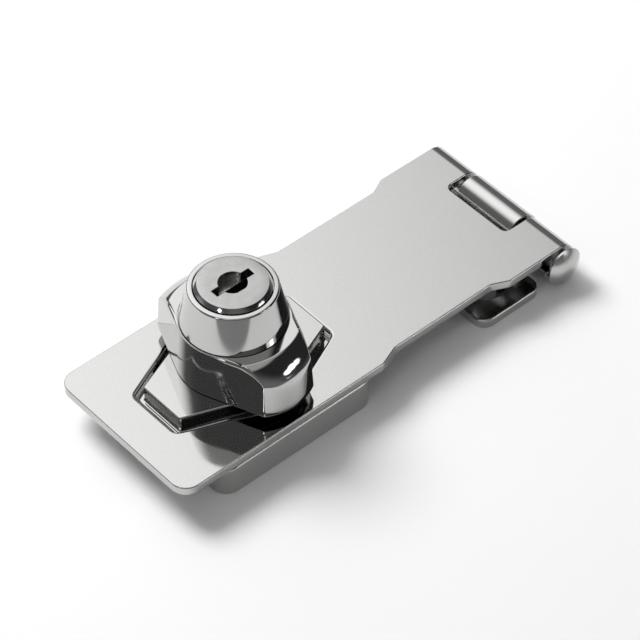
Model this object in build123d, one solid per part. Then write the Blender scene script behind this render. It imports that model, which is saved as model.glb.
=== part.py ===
from build123d import *
import math
import os

# Keyed hasp lock with a twist knob, shown closed and latched.
# Millimetres. The origin is the knob's axis on the mounting surface, +X runs to the hinge, +Z is up.
# Angles in the side view (XZ) and in plan (XY) are in degrees.

# Levels above the mounting surface
housing_h = 7.6
leaf_t = 2.1
leaf_top = housing_h + leaf_t
boss_top = leaf_top + 2.1
knob_gap = 0.2
wing_z = boss_top + knob_gap
rim_top = 33.1
face_top = 34.1

# Hasp leaf, plan
free_x = -31.5
leaf_half = 21.0
free_corner_r = 4.0
wide_end_x = 23.5
waist_start_x = 28.5
waist_half = 19.1
waist_end_x = 56.5
shoulder_x = 60.5
step_corner_r = 1.6
slot_free_x = -22.0
slot_hinge_x = 20.9
slot_hub_r = 15.1
slot_slope = 24.0
slot_corner_r = 1.5

# Hinge
pin_x = 75.5
pin_r = 2.3
pin_play = 0.05
pin_chamfer = 0.4
knuckle_play = 0.05
bore_r = pin_r + pin_play
pin_z = leaf_top - bore_r - leaf_t
leaf_curl_end = 200.0
window_x = 69.8
window_half = 9.5
window_corner_r = 1.5
head_r = 4.6
head_y = -22.2
head_rim_t = 0.5
head_dome_h = 1.7
crown_flat_r = 0.6
dome_mid_r = 2.944
dome_mid_h = 1.224
neck_r = 3.2
pin_far_y = 21.4

# Hinge plate
plate_t = 2.3
plate_shift_y = -0.3
plate_x0 = 51.9
plate_x1 = 69.9
plate_half = 21.5
plate_corner_r = 3.0
strap_half = 8.45
curl_end = 140.0
joggle_x = 73.0
joggle_offset = 0.4
plate_hole_x = 60.5
plate_hole_y = 13.5

# Base housing with its boss
housing_half = 21.15
housing_corner_r = 3.8
housing_edge_r = 0.5
boss_half_len = 20.1
boss_hub_r = 12.85
boss_slope = 21.4
wall_t = 2.6
pocket_z = 5.2
hub_ring_r = 12.6
hub_ring_z = 3.8
base_screw_at = 14.8
base_column_r = 4.6
screw_hole_r = 2.2
screw_head_r = 4.1

# Knob
knob_hub_r = 12.9
knob_slope = 22.0
wing_corner_y = 17.5
wing_tip_y = 19.4
wing_corner_r = 1.1
knob_draft = 3.8
wing_blank_h = 14.0
ledge_z = leaf_top + 14.3
ledge_r = 14.4
dome_r = 10.0
dome_centre_r = 9.85
dome_centre_z = ledge_z - math.sqrt(dome_r ** 2 - (ledge_r - dome_centre_r) ** 2)
dome_mid_angle = 40.0
cone_base_r = 11.7
cone_top_r = 9.7
cone_sink = 1.5
rim_edge_r = 0.45
spindle_r = 9.0
spindle_z = 0.8
spindle_top = 15.0
press_play = 0.02
spindle_core_r = 4.6
spindle_core_top = 5.0
running_play = 0.05

# Lock plug
plug_r = 7.4
plug_play = 0.04
head_plug_r = 8.3
head_bore_r = 8.5
head_plug_z = 29.6
head_float = 0.05
plug_chamfer = 0.75
plug_z = 9.4
keyhole_r = 3.1
keyhole_depth = 2.6
keyway_len = 10.0
keyway_w = 2.0
keyway_floor = 15.4
cam_arm = 1.5
cam_pin_r = 1.0
cam_pin_z = 6.8
cam_rest_angle = 45.0

# Wafers: four tumblers, one retainer, and the comb spring behind the tumblers
wafer_count = 4
wafer_first_z = 16.6
wafer_pitch = 2.8
wafer_t = 0.9
wafer_w = 7.0
wafer_slot_play = 0.05
wafer_travel = 0.7
wafer_back_x = -6.3
groove_r = plug_r + plug_play + wafer_travel + 0.15
groove_z0 = 15.9
broach_play = 0.1
window_play = 0.1
window_step = 0.25
retainer_z = 12.8
retainer_play = 0.1
retainer_back_x = -3.0
retainer_room = 0.8
comb_x = -7.1
comb_t = 0.25
comb_w = 2.6
comb_play = 0.1
comb_z0 = 16.2
comb_z1 = 26.4
finger_half_w = 0.6
finger_root_z0 = -0.8
finger_root_z1 = -0.5
finger_tip_half = 0.15
finger_gap = 0.08

# Locking bolt that the plug's eccentric pin drives across the spindle
bolt_z0 = 6.6
bolt_t = 2.6
bolt_half_w = 3.6
bolt_tip_r = 8.85
bolt_tail_x = 5.6
bolt_play = 0.05
yoke_play = 0.09
yoke_end_play = 0.3
bolt_tail_play = 0.6
notch_r = 11.2
notch_play = 0.1

# Knob's end stop and its retention under the housing
stop_r = 10.8
stop_pin_r = 0.75
stop_pin_z0 = 9.6
stop_pin_z1 = wing_z + 1.3
stop_groove_half_w = 0.85
stop_groove_depth = 1.6
stop_slack_deg = 0.5
washer_play = 0.1
washer_t = 0.55
washer_r = 12.2
spring_washer_t = 0.4
spring_washer_h = 0.7
spring_washer_step = 0.6
ring_t = 0.8
ring_r = 10.6
ring_seat_r = 8.0
ring_bore_play = 0.02
ring_play = 0.05
ring_gap_deg = 34.0
ring_z0 = 1.3


def block(x0, x1, y0, y1, z0, z1):
    """Box between two corners."""
    centre = Location(((x0 + x1) / 2, (y0 + y1) / 2, (z0 + z1) / 2))
    return centre * Box(x1 - x0, y1 - y0, z1 - z0)


def upright(radius, z0, z1, x=0.0, y=0.0):
    """Cylinder along Z."""
    return Location((x, y, (z0 + z1) / 2)) * Cylinder(radius, z1 - z0)


def along_y(radius, y0, y1, x, z):
    """Cylinder along Y."""
    return Location((x, (y0 + y1) / 2, z)) * Rotation(90, 0, 0) * Cylinder(radius, y1 - y0)


def side_extrusion(outline, y0, y1):
    """Extrudes an outline of (x, z) points from y0 to y1."""
    plane = Plane(origin=(0, y0, 0), x_dir=(1, 0, 0), z_dir=(0, -1, 0))
    face = plane * make_face(Polyline(*outline, close=True))
    return extrude(face, amount=-(y1 - y0))


def pie(angle0, angle1, reach):
    """Side-view outline, from the pin's axis, of the sector between two angles."""
    steps = 8
    points = [(0.0, 0.0)]
    for i in range(steps + 1):
        a = math.radians(angle0 + (angle1 - angle0) * i / steps)
        points.append((reach * math.cos(a), reach * math.sin(a)))
    return points


def curl(sheet_t, angle0, angle1, y0, y1):
    """Sheet rolled round the pin between two angles of the side view."""
    outer = along_y(bore_r + sheet_t, y0, y1, pin_x, pin_z)
    sector = [(pin_x + x, pin_z + z) for x, z in pie(angle0, angle1, 3 * (bore_r + sheet_t))]
    rolled = outer & side_extrusion(sector, y0, y1)
    return rolled - along_y(bore_r, y0 - 1, y1 + 1, pin_x, pin_z)


def tapered_plan(hub_r, slope, x0, x1):
    """Plan of the boss and the slot: a round middle whose tangents run in to square ends at x0 and x1."""
    s = math.radians(slope)
    tx = hub_r * math.sin(s)
    ty = hub_r * math.cos(s)
    half0 = (hub_r + x0 * math.sin(s)) / math.cos(s)
    half1 = (hub_r - x1 * math.sin(s)) / math.cos(s)
    upper = [(x1, half1), (tx, ty), (-tx, ty), (x0, half0)]
    lower = [(x, -y) for x, y in reversed(upper)]
    return make_face(Polyline(*upper, *lower, close=True)) + Circle(hub_r)


def countersunk(x, y, z_top, through):
    """Cutter for a countersunk screw hole."""
    depth = screw_head_r - screw_hole_r
    sink = Location((x, y, z_top - depth / 2)) * Cone(screw_hole_r, screw_head_r, depth)
    return upright(screw_hole_r, z_top - through - 1, z_top, x, y) + sink


def leaf_outline():
    """Half of the leaf's plan, on the +Y side, from the free end to the barrel."""
    return [
        (free_x, leaf_half),
        (wide_end_x, leaf_half),
        (waist_start_x, waist_half),
        (waist_end_x, waist_half),
        (shoulder_x, leaf_half),
        (pin_x, leaf_half),
    ]


def hasp_leaf():
    """Pressed leaf: slot over the boss, stepped sides, window, and two knuckles rolled down."""
    upper = leaf_outline()
    lower = [(x, -y) for x, y in reversed(upper)]
    plan = make_face(Polyline(*upper, *lower, close=True))
    sheet = extrude(Location((0, 0, housing_h)) * plan, amount=leaf_t)
    free_corners = sheet.edges().filter_by(Axis.Z).sort_by(Axis.X)[:2]
    sheet = fillet(free_corners, free_corner_r)
    steps = [e for e in sheet.edges().filter_by(Axis.Z) if wide_end_x - 1 < e.center().X < shoulder_x + 1]
    sheet = fillet(steps, step_corner_r)
    slot_plan = tapered_plan(slot_hub_r, slot_slope, slot_free_x, slot_hinge_x)
    slot = extrude(Location((0, 0, housing_h - 1)) * slot_plan, amount=leaf_t + 2)
    ends = slot.edges().filter_by(Axis.Z).sort_by(Axis.X)
    slot = fillet(ends[:2] + ends[-2:], slot_corner_r)
    window = block(window_x, pin_x + 8, -window_half, window_half, -1, leaf_top + 1)
    window = fillet(window.edges().filter_by(Axis.Z).sort_by(Axis.X)[:2], window_corner_r)
    reach = leaf_curl_end - 360.0
    knuckles = curl(leaf_t, 90.0, reach, -leaf_half, leaf_half)
    return (sheet - along_y(bore_r, -30, 30, pin_x, pin_z) + knuckles) - slot - window


def hinge_plate():
    """Lower plate: two ears with screw holes, and a strap that rolls up round the pin."""
    ears = block(plate_x0, plate_x1, -plate_half, plate_half, 0, plate_t)
    ears = fillet(ears.edges().filter_by(Axis.Z), plate_corner_r)
    knuckle_r = bore_r + plate_t
    rise = pin_z - knuckle_r
    strap = side_extrusion([
        (plate_x1 - plate_corner_r, 0.0),
        (plate_x1, 0.0),
        (joggle_x, rise),
        (pin_x, rise),
        (pin_x, rise + plate_t),
        (joggle_x - joggle_offset, rise + plate_t),
        (plate_x1, plate_t),
        (plate_x1 - plate_corner_r, plate_t),
    ], -strap_half, strap_half)
    knuckle = curl(plate_t, -90.0, curl_end, -strap_half, strap_half)
    plate = ears + strap + knuckle
    for side in (-1, 1):
        plate -= countersunk(plate_hole_x, side * plate_hole_y, plate_t, plate_t)
    return Location((0, plate_shift_y, 0)) * plate


def hinge_pin():
    """Headed pin with a domed head at the near end and a chamfered far end."""
    shoulder_y = -leaf_half - knuckle_play
    rim_y = head_y - head_rim_t
    crown_y = rim_y - head_dome_h
    outline = (
        Polyline((0, pin_far_y), (pin_r - pin_chamfer, pin_far_y), (pin_r, pin_far_y - pin_chamfer),
                 (pin_r, shoulder_y), (neck_r, shoulder_y), (neck_r, head_y),
                 (head_r, head_y), (head_r, rim_y))
        + ThreePointArc((head_r, rim_y), (dome_mid_r, rim_y - dome_mid_h), (crown_flat_r, crown_y))
        + Polyline((crown_flat_r, crown_y), (0, crown_y), (0, pin_far_y))
    )
    return Location((pin_x, 0, pin_z)) * revolve(make_face(outline), Axis.Y)


def base_housing():
    """Cast housing: box with a boss for the slot, hollow underneath, screw columns and hub ring."""
    body = block(-housing_half, housing_half, -housing_half, housing_half, 0, housing_h)
    body = fillet(body.edges().filter_by(Axis.Z), housing_corner_r)
    body = fillet(body.faces().sort_by(Axis.Z)[-1].edges(), housing_edge_r)
    inner = housing_half - wall_t
    pocket = block(-inner, inner, -inner, inner, -1, pocket_z)
    pocket = fillet(pocket.edges().filter_by(Axis.Z), housing_corner_r - 1)
    columns = [(sx * base_screw_at, sy * base_screw_at) for sx in (-1, 1) for sy in (-1, 1)]
    for x, y in columns:
        pocket -= upright(base_column_r, -2, pocket_z + 1, x, y)
    pocket -= upright(hub_ring_r, hub_ring_z, pocket_z + 1)
    boss_plan = tapered_plan(boss_hub_r, boss_slope, -boss_half_len, boss_half_len)
    boss = extrude(Location((0, 0, housing_h - 1)) * boss_plan, amount=boss_top - housing_h + 1)
    body = (body - pocket) + boss
    body -= upright(spindle_r + running_play, -1, boss_top + 1)
    for x, y in columns:
        body -= countersunk(x, y, housing_h, housing_h)
    for turn in (180, 270):
        notch = block(0, notch_r, -bolt_half_w - notch_play, bolt_half_w + notch_play,
                      bolt_z0 - notch_play, bolt_z0 + bolt_t + notch_play)
        body -= Rotation(0, 0, turn) * notch
    return body - upright(stop_pin_r, stop_pin_z0, boss_top + 1, 0, stop_r)


def knob_wings():
    """Hub and two tapered wings under a dome, long axis across the hasp."""
    s = math.radians(knob_slope)
    tx = knob_hub_r * math.cos(s)
    ty = knob_hub_r * math.sin(s)
    corner_x = (knob_hub_r - wing_corner_y * math.sin(s)) / math.cos(s)
    outline = (
        Line((tx, ty), (corner_x, wing_corner_y))
        + ThreePointArc((corner_x, wing_corner_y), (0, wing_tip_y), (-corner_x, wing_corner_y))
        + Line((-corner_x, wing_corner_y), (-tx, ty))
        + ThreePointArc((-tx, ty), (-knob_hub_r, 0), (-tx, -ty))
        + Line((-tx, -ty), (-corner_x, -wing_corner_y))
        + ThreePointArc((-corner_x, -wing_corner_y), (0, -wing_tip_y), (corner_x, -wing_corner_y))
        + Line((corner_x, -wing_corner_y), (tx, -ty))
        + ThreePointArc((tx, -ty), (knob_hub_r, 0), (tx, ty))
    )
    plan = make_face(outline)
    corners = [v for v in plan.vertices() if abs(abs(v.Y) - wing_corner_y) < 0.01]
    plan = Location((0, 0, wing_z)) * fillet(corners, wing_corner_r)
    return extrude(plan, amount=wing_blank_h, taper=knob_draft) & dome()


def dome():
    """Solid of revolution over the wings, with a flat ledge round the cone's foot."""
    tip_r = dome_centre_r + dome_r
    mid = math.radians(dome_mid_angle)
    dome_mid = (dome_centre_r + dome_r * math.cos(mid), dome_centre_z + dome_r * math.sin(mid))
    profile = make_face(
        Polyline((0, wing_z - 1), (tip_r, wing_z - 1), (tip_r, dome_centre_z))
        + ThreePointArc((tip_r, dome_centre_z), dome_mid, (ledge_r, ledge_z))
        + Polyline((ledge_r, ledge_z), (0, ledge_z), (0, wing_z - 1))
    )
    return revolve(Plane.XZ * profile, Axis.Z)


def knob_body():
    """Cast knob: wings and cone, bored for the plug and broached for the wafers."""
    cone_h = rim_top - ledge_z
    low_r = cone_base_r + (cone_base_r - cone_top_r) * cone_sink / cone_h
    cone = Location((0, 0, rim_top - (cone_h + cone_sink) / 2)) * Cone(low_r, cone_top_r, cone_h + cone_sink)
    knob = knob_wings() + cone
    rim_edge = [e for e in knob.edges().filter_by(GeomType.CIRCLE) if abs(e.center().Z - rim_top) < 0.01]
    knob = fillet(rim_edge, rim_edge_r)
    knob -= upright(head_bore_r, head_plug_z - head_float, rim_top + 1)
    knob -= upright(plug_r + plug_play, wing_z - 1, rim_top)
    half = wafer_w / 2 + broach_play
    broached = block(-groove_r, groove_r, -half, half, groove_z0, rim_top)
    broached += Rotation(0, 0, 90) * broached
    knob -= broached & upright(groove_r, groove_z0, rim_top)
    knob -= upright(spindle_r + press_play, wing_z - 1, spindle_top)
    return knob - stop_groove()


def spindle():
    """Turned spindle pressed in the knob's underside, cross slotted for the bolt."""
    body = upright(spindle_r, spindle_z, spindle_top - press_play)
    body -= upright(plug_r + plug_play, bolt_z0 + bolt_t, spindle_top + 1)
    body -= upright(groove_r, retainer_z - retainer_play, retainer_z + wafer_t + retainer_play)
    half = bolt_half_w + bolt_play
    body -= block(-spindle_r - 1, bolt_tail_x + bolt_tail_play, -half, half,
                  bolt_z0 - bolt_play, bolt_z0 + bolt_t + bolt_play)
    body -= upright(spindle_core_r, spindle_z - 1, spindle_core_top)
    ring_groove = upright(spindle_r + 1, ring_z0 - ring_play, ring_z0 + ring_t + ring_play)
    return body - (ring_groove - upright(ring_seat_r, 0, ring_z0 + 2))


def stop_groove():
    """Quarter-turn groove in the wings' underside, with round ends that meet the stop pin."""
    top = wing_z + stop_groove_depth
    track = upright(stop_r + stop_groove_half_w, wing_z - 1, top)
    track -= upright(stop_r - stop_groove_half_w, wing_z - 1, top)
    quarter = block(0, 20, 0, 20, wing_z - 1, top)
    groove = track & quarter
    for end in (-stop_slack_deg, 90.0 + stop_slack_deg):
        a = math.radians(end)
        groove += upright(stop_groove_half_w, wing_z - 1, top, stop_r * math.cos(a), stop_r * math.sin(a))
    return groove


def wafer_blank(z0, x_back, reach):
    """Tumbler plate at height z0, rounded in front to the given reach."""
    plate = block(x_back, reach, -wafer_w / 2, wafer_w / 2, z0, z0 + wafer_t)
    return plate & upright(reach, z0, z0 + wafer_t)


def wafer(index):
    """One tumbler: a plate with a window for the key, flush with the plug."""
    z0 = wafer_first_z + wafer_pitch * index
    half_len = keyway_len / 2 + window_play
    half_w = keyway_w / 2 + window_play
    short = window_step * (index % 3)
    opening = block(-half_len, half_len - short, -half_w, half_w, z0 - 1, z0 + wafer_t + 1)
    return wafer_blank(z0, wafer_back_x, plug_r) - opening


def retainer_wafer():
    """Plate below the tumblers that stays in the knob's ring groove and keeps the plug in."""
    reach = plug_r + wafer_travel
    return wafer_blank(retainer_z, retainer_back_x, reach)


def comb_spring():
    """Spring strip with one bent finger behind each tumbler."""
    strip = block(comb_x - comb_t / 2, comb_x + comb_t / 2, -comb_w / 2, comb_w / 2, comb_z0, comb_z1)
    for i in range(wafer_count):
        z_mid = wafer_first_z + wafer_pitch * i + wafer_t / 2
        x_in = wafer_back_x - finger_gap
        finger = side_extrusion([
            (comb_x, z_mid + finger_root_z0),
            (comb_x, z_mid + finger_root_z1),
            (x_in, z_mid + finger_tip_half),
            (x_in, z_mid - finger_tip_half),
        ], -finger_half_w, finger_half_w)
        strip += finger
    return strip


def lock_plug():
    """Plug: chamfered face with the keyhole, slotted body, and the eccentric pin underneath."""
    head = upright(head_plug_r, head_plug_z, face_top)
    head = chamfer(head.edges().sort_by(Axis.Z)[-1:], plug_chamfer)
    plug = head + upright(plug_r, plug_z, head_plug_z)
    a = math.radians(cam_rest_angle)
    plug += upright(cam_pin_r, cam_pin_z, plug_z, cam_arm * math.cos(a), cam_arm * math.sin(a))
    plug -= upright(keyhole_r, face_top - keyhole_depth, face_top + 1)
    plug -= block(-keyway_len / 2, keyway_len / 2, -keyway_w / 2, keyway_w / 2, keyway_floor, face_top + 1)
    half = wafer_w / 2 + wafer_slot_play
    for i in range(wafer_count):
        z0 = wafer_first_z + wafer_pitch * i
        plug -= block(-9, 9, -half, half, z0 - wafer_slot_play, z0 + wafer_t + wafer_slot_play)
    plug -= block(retainer_back_x - retainer_room, 9, -half, half,
                  retainer_z - wafer_slot_play, retainer_z + wafer_t + wafer_slot_play)
    comb_half = comb_w / 2 + comb_play
    return plug - block(-9, wafer_back_x, -comb_half, comb_half, comb_z0 - comb_play, comb_z1 + comb_play)


def locking_bolt():
    """Sliding bolt with a cross slot for the plug's eccentric pin."""
    z1 = bolt_z0 + bolt_t
    bar = block(-bolt_tip_r, bolt_tail_x, -bolt_half_w, bolt_half_w, bolt_z0, z1)
    bar = bar & upright(bolt_tip_r, bolt_z0, z1)
    a = math.radians(cam_rest_angle)
    slot_x = cam_arm * math.cos(a)
    slot_half = cam_pin_r + yoke_play
    y0 = cam_arm * math.sin(a) - cam_pin_r - yoke_end_play
    y1 = cam_arm + cam_pin_r + yoke_end_play
    return bar - block(slot_x - slot_half, slot_x + slot_half, y0, y1, bolt_z0 - 1, z1 + 1)


def stop_pin():
    """Pin pressed in the boss that ends the knob's quarter turn."""
    return upright(stop_pin_r, stop_pin_z0, stop_pin_z1, 0, stop_r)


def flat_washer():
    """Flat washer under the hub ring."""
    z1 = hub_ring_z
    return upright(washer_r, z1 - washer_t, z1) - upright(spindle_r + washer_play, z1 - 2, z1 + 1)


def spring_washer():
    """Coned washer that keeps the knob snug."""
    z1 = hub_ring_z - washer_t
    inner = spindle_r + washer_play
    outer = washer_r - spring_washer_step
    profile = make_face(Polyline(
        (inner, z1 - spring_washer_h - spring_washer_t),
        (outer, z1 - spring_washer_t),
        (outer, z1),
        (inner, z1 - spring_washer_h),
        close=True,
    ))
    return revolve(Plane.XZ * profile, Axis.Z)


def retaining_ring():
    """Open ring in the spindle's groove."""
    ring = upright(ring_r, ring_z0, ring_z0 + ring_t)
    ring -= upright(ring_seat_r + ring_bore_play, ring_z0 - 1, ring_z0 + ring_t + 1)
    half_gap = ring_r * math.sin(math.radians(ring_gap_deg / 2))
    ring -= block(0, ring_r + 1, -half_gap, half_gap, ring_z0 - 1, ring_z0 + ring_t + 1)
    return ring


def all_parts():
    """Every sub-part by its node name."""
    parts = {
        "hasp_leaf": hasp_leaf(),
        "hinge_plate": hinge_plate(),
        "hinge_pin": hinge_pin(),
        "base_housing": base_housing(),
        "stop_pin": stop_pin(),
        "knob_body": knob_body(),
        "spindle": spindle(),
        "flat_washer": flat_washer(),
        "spring_washer": spring_washer(),
        "retaining_ring": retaining_ring(),
        "lock_plug": lock_plug(),
        "comb_spring": comb_spring(),
        "retainer_wafer": retainer_wafer(),
        "locking_bolt": locking_bolt(),
    }
    for i in range(wafer_count):
        parts[f"wafer_{i + 1}"] = wafer(i)
    return parts


os.makedirs("parts", exist_ok=True)
for name, solid in all_parts().items():
    export_step(solid, f"parts/{name}.step")
    box = solid.bounding_box()
    count = len(solid.solids())
    print(f"{name}: {count} solid, {solid.volume:.1f} mm3, z {box.min.Z:.2f} to {box.max.Z:.2f}")
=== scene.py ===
import math

import bmesh
import bpy
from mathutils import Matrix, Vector


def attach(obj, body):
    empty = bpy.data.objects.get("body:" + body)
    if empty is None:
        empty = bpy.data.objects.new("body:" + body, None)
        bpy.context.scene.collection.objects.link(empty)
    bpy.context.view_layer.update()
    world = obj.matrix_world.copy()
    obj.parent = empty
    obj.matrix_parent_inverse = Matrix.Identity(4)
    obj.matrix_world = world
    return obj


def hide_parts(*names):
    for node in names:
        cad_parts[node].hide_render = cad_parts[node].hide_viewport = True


# Looks of a keyed hasp lock with a twist knob. Shapes are written in millimetres, in the frame's axes,
# and turned to metres when a piece is made. Angles are in degrees unless a name says otherwise.

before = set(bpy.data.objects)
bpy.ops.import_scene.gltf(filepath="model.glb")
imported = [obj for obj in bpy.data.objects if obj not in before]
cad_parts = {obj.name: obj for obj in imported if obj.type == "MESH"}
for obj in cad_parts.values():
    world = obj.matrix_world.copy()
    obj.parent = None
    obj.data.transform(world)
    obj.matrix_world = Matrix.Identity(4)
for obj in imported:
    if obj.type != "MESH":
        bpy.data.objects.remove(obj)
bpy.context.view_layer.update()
MM = 0.001

# Shared by several pieces: the margin round flat faces, and how far cutters reach past what they cut
FLAT_MARGIN = 0.04
SHARP_ANGLE = 33.0
UNDER_EDGE_R = 0.15
CUT_OVER = 1.0

# Levels above the mounting surface
HOUSING_H = 7.6
LEAF_T = 2.1
LEAF_TOP = HOUSING_H + LEAF_T
BOSS_TOP = LEAF_TOP + 2.1
WING_Z = BOSS_TOP + 0.2
RIM_TOP = 33.1
FACE_TOP = 34.1

# Hasp leaf
FREE_X = -31.5
LEAF_HALF = 21.0
LEAF_EDGE_R = 0.28
FREE_CORNER_R = 4.0
WAIST_HALF = 19.1
WAIST_X0 = 28.5
WAIST_X1 = 56.5
SHOULDER_X0 = 23.5
SHOULDER_X1 = 60.5
STEP_CORNER_R = 1.6
SLOT_FREE_X = -22.0
SLOT_HINGE_X = 20.9
SLOT_HUB_R = 15.1
SLOT_SLOPE = 24.0
SLOT_CORNER_R = 1.5
SLOT_ROLL_R = 0.75
SLOT_UNDER_R = 0.12

# Hinge
PIN_X = 75.5
PIN_R = 2.3
BORE_R = 2.35
PIN_Z = LEAF_TOP - BORE_R - LEAF_T
LEAF_CURL = 250.0
WINDOW_X = 69.8
WINDOW_HALF = 9.5
WINDOW_CORNER_R = 1.5
KNUCKLE_CORNER_R = 0.4
HEAD_R = 4.6
HEAD_Y = -22.2
HEAD_RIM = 0.5
HEAD_RISE = 1.7
HEAD_POWER = 2.3
COLLAR_R = 3.2
COLLAR_Y = -21.05
PIN_FAR_Y = 21.4
PIN_CHAMFER = 0.4

# Hinge plate
PLATE_T = 2.3
PLATE_SHIFT_Y = -0.3
PLATE_X0 = 51.9
PLATE_X1 = 69.9
PLATE_HALF = 21.5
PLATE_EDGE_R = 0.35
EAR_CORNER_R = 3.0
STRAP_HALF = 8.45
STRAP_ROOT_R = 0.5
STRAP_STEP_X = 69.2
STRAP_TURN = 14.0
PLATE_CURL = 230.0
PLATE_HOLE_X = 60.5
PLATE_HOLE_Y = 13.5

# Base housing
HOUSING_HALF = 21.15
HOUSING_CORNER_R = 3.8
HOUSING_FOOT_R = 0.2
HOUSING_EDGE_R = 0.5
WALL_T = 2.6
POCKET_Z = 5.2
POCKET_CORNER_R = 2.8
POCKET_CUT_Z = 6.0
BOSS_HALF_LEN = 20.1
BOSS_HUB_R = 12.85
BOSS_SLOPE = 21.4
BOSS_CORNER_R = 0.6
BOSS_EDGE_R = 0.3
BOSS_FILLET = 0.25
BOSS_FILLET_MID = 0.073
BORE_CHAMFER = 0.15
SPINDLE_R = 9.0
RUNNING_PLAY = 0.05
HUB_RING_R = 12.6
HUB_RING_Z = 3.8
SCREW_AT = 14.8
SCREW_COLUMN_R = 4.6
SCREW_HOLE_R = 2.2
SCREW_HEAD_R = 4.1
SCREW_SINK = SCREW_HEAD_R - SCREW_HOLE_R
SCREW_CUT_OVER = 0.2
NOTCH_R = 11.2
NOTCH_HALF = 3.7
NOTCH_PLAY = 0.1

# Knob
KNOB_HUB_R = 12.9
KNOB_SLOPE = 22.0
WING_CORNER_Y = 17.5
WING_TIP_Y = 19.4
WING_CORNER_R = 1.1
KNOB_DRAFT = 3.8
LEDGE_Z = LEAF_TOP + 14.3
LEDGE_R = 14.4
DOME_R = 10.0
DOME_CENTRE_R = 9.85
DOME_CENTRE_Z = LEDGE_Z - math.sqrt(DOME_R ** 2 - (LEDGE_R - DOME_CENTRE_R) ** 2)
CONE_BASE_R = 11.7
CONE_TOP_R = 9.7
FOOT_GROOVE_W = 0.2
FOOT_GROOVE_DEPTH = 0.25
FOOT_GROOVE_EDGE = 0.03
CONE_FOOT_OUT = 0.05
WING_FOOT_R = 0.2
WING_FOOT_MID = 0.06
RIDGE_REACH = 0.75
TIP_REACH = 1.0
CORNER_REACH = 0.3
CORNER_SPREAD = 4.0
TIP_TURN = 50.0
TIP_BLEND = 30.0
EDGE_SHARE = 0.8
LEDGE_MARGIN = 0.1
PLAN_STEP = 0.3
FLANK_ROWS = 6
EDGE_ROWS = 8
CROWN_ROWS = 18
LEDGE_ROWS = 6
RIM_EDGE_R = 0.45
RIM_BORE_CHAMFER = 0.12
SPINDLE_TOP = 15.0
SEAT_R = 9.02
HEAD_BORE_R = 8.5
HEAD_Z = 29.6
HEAD_FLOAT = 0.05
BORE_PLUG_R = 7.44

# Stop pin's hole in the boss and its track under the wings
STOP_R = 10.8
STOP_PIN_R = 0.75
STOP_PIN_Z = 9.6
STOP_HALF = 0.85
STOP_PAST = 0.5
STOP_DEPTH = 1.6

# Lock plug
PLUG_R = 7.4
PLUG_HEAD_R = 8.3
PLUG_CHAMFER = 0.75
PLUG_Z = 9.4
FACE_RING_R = 5.6
KEYHOLE_R = 3.1
KEYHOLE_DEPTH = 2.6
KEYHOLE_EDGE = 0.12
KEYHOLE_EDGE_MID = 0.035
KEYWAY_LEN = 10.0
KEYWAY_W = 2.0
KEYWAY_INSET = 0.02
KEYWAY_FLOOR = 15.4
KEYWAY_TOP = FACE_TOP - KEYHOLE_DEPTH + 0.3
CAM_PIN_R = 1.0
CAM_PIN_Z = 6.8
CAM_PIN_TOP = PLUG_Z + 0.5
CAM_ARM = 1.5
CAM_ANGLE = 45.0
BOLT_Z0 = 6.6
BOLT_T = 2.6
WAFER_COUNT = 4
WAFER_FIRST_Z = 16.6
WAFER_PITCH = 2.8
WAFER_T = 0.9
WAFER_W = 7.0
WAFER_PLAY = 0.05
SLOT_END_X = 9.0
RETAINER_Z = 12.8
RETAINER_BACK_X = -3.8
COMB_FRONT_X = -6.32
COMB_HALF = 1.4
COMB_Z0 = 16.1
COMB_Z1 = 26.5
CROSS_PLAY = 0.1
CROSS_Z0 = 15.9
CROSS_Z1 = RIM_TOP - 1.5
GROOVE_R = 8.29

# Metals: colours, grain, and how much less rough a polished band is
NICKEL = (0.52, 0.518, 0.513)
PLUG_NICKEL = (0.45, 0.448, 0.444)
STEEL = (0.56, 0.56, 0.57)
SPRING_STEEL = (0.42, 0.43, 0.46)
BRASS = (0.80, 0.60, 0.28)
GRAIN_MM = 0.5
GRAIN_UM = 0.4
GRAIN_DARK = 0.97
NOISE_LOW = 0.3
NOISE_HIGH = 0.7
POLISH_BLEND = 0.05
POLISH_SHARE = 0.33

# Floor, lamp and camera: places and sizes in metres, but for the floor's size and the camera's
# sensor and lens, which are in mm
FLOOR_LIT = 0.75
FLOOR_SEEN = 0.95
FLOOR_SIZE = 3000.0
# Past its near edge the floor is painted grey, a painted shade for the metal to mirror
NEAR_SIDE = 228.66
NEAR_EDGE = 0.068
NEAR_BLEND = 0.006
NEAR_PAINTED_SHADE = 0.33
FLOOR_GRAIN = 0.005
FLOOR_GRAIN_SCALE = 40.0
FLOOR_ROUGH = 0.9
LAMP_AIM = Vector((0.02, 0.0, 0.01))
CAMERA_PLACE = Vector((-0.288836, -0.355421, 0.505899))
CAMERA_AIM = Vector((0.020234, -0.004163, 0.012))
CAMERA_LENS = 179.548
SENSOR = 36.0


# Outlines and solids

def turned(direction, degrees):
    """A plan direction turned counter-clockwise."""
    a = math.radians(degrees)
    x, y = direction
    return (x * math.cos(a) - y * math.sin(a), x * math.sin(a) + y * math.cos(a))


def arc(radius, start, end, cx=0.0, cy=0.0, step=4.0):
    """Points on an arc."""
    count = max(2, math.ceil(abs(end - start) / step))
    angles = [math.radians(start + (end - start) * i / count) for i in range(count + 1)]
    return [(cx + radius * math.cos(a), cy + radius * math.sin(a)) for a in angles]


def circle(radius, count, cx=0.0, cy=0.0):
    """Points on a whole circle, counter-clockwise."""
    return arc(radius, 0.0, 360.0, cx, cy, 360.0 / count)[:-1]


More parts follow.
